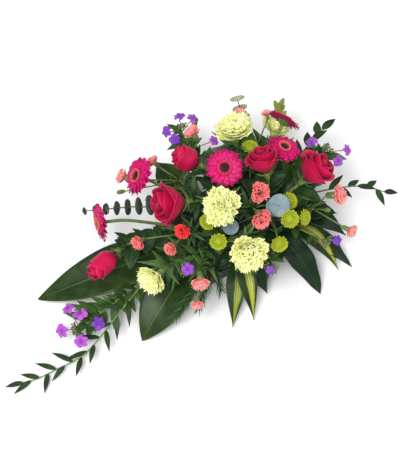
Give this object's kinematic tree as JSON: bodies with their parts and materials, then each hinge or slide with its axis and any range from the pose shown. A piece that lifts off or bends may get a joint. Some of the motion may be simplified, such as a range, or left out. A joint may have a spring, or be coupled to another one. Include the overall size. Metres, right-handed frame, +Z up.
{
  "type": "casket spray",
  "caption": "Single-ended casket spray: cut flowers and broad and trailing leaves fan out from a block of wet foam in a shallow tray that rests on a lid.",
  "frame": {"origin": "middle of the tray's flat underside, on the surface that the spray rests on", "axes": "+X along the spray from its long trailing end towards its short end, +Y towards the back, +Z up"},
  "size_m": [0.6977, 0.3678, 0.2172],
  "materials": {
    "rose_petal": "soft velvety rose petal, crimson",
    "gerbera_petal": "satin ray petals, magenta, with a dark eye",
    "carnation_petal": "matt ruffled petals, pale lime cream",
    "spray_carnation_petal": "matt ruffled petals, coral pink",
    "button_floret": "matt dense florets, lime green",
    "phlox_petal": "soft thin petals, violet",
    "leaf_green": "waxy leaf, dark green, semi-gloss",
    "stripe_green": "waxy leaf, yellow green",
    "grey_green": "waxy leaf with a grey bloom, matt",
    "wet_foam": "open-celled floral foam full of water, matt green",
    "tray_plastic": "moulded polypropylene, dark green, satin"
  },
  "bodies": {
    "root": {"tray": "tray_plastic", "foam": "wet_foam", "rose_1": "rose_petal", "rose_1_stem": "leaf_green", "rose_2": "rose_petal", "rose_2_stem": "leaf_green", "rose_3": "rose_petal", "rose_3_stem": "leaf_green", "rose_4": "rose_petal", "rose_4_stem": "leaf_green", "rose_5": "rose_petal", "rose_5_stem": "leaf_green", "gerbera_1": "gerbera_petal", "gerbera_2": "gerbera_petal", "gerbera_3": "gerbera_petal", "gerbera_4": "gerbera_petal", "gerbera_5": "gerbera_petal", "carnation_1": "carnation_petal", "carnation_1_stem": "leaf_green", "carnation_2": "carnation_petal", "carnation_2_stem": "leaf_green", "carnation_3": "carnation_petal", "carnation_3_stem": "leaf_green", "carnation_4": "carnation_petal", "carnation_4_stem": "leaf_green", "carnation_5": "carnation_petal", "carnation_5_stem": "leaf_green", "spray_carnation_1": "spray_carnation_petal", "spray_carnation_2": "spray_carnation_petal", "spray_carnation_3": "spray_carnation_petal", "spray_carnation_4": "spray_carnation_petal", "spray_carnation_5": "spray_carnation_petal", "spray_carnation_6": "spray_carnation_petal", "button_chrysanthemum_1": "button_floret", "button_chrysanthemum_2": "button_floret", "button_chrysanthemum_3": "button_floret", "phlox_1": "phlox_petal", "phlox_2": "phlox_petal", "phlox_3": "phlox_petal", "phlox_4": "phlox_petal", "phlox_5": "phlox_petal", "phlox_6": "phlox_petal", "aspidistra_1": "leaf_green", "aspidistra_2": "leaf_green", "aspidistra_3": "leaf_green", "striped_leaves": "leaf_green", "wavy_leaf": "leaf_green", "right_leaves": "leaf_green", "side_leaves": "leaf_green", "back_leaves_1": "leaf_green", "back_leaves_2": "leaf_green", "end_leaves": "leaf_green", "ruscus_trail": "leaf_green", "ruscus_right": "leaf_green", "ruscus_top": "leaf_green", "needle_sprig": "leaf_green", "eucalyptus_left": "grey_green", "eucalyptus_top": "grey_green", "eucalyptus_front": "grey_green", "pittosporum": "stripe_green"}
  },
  "joints": []
}
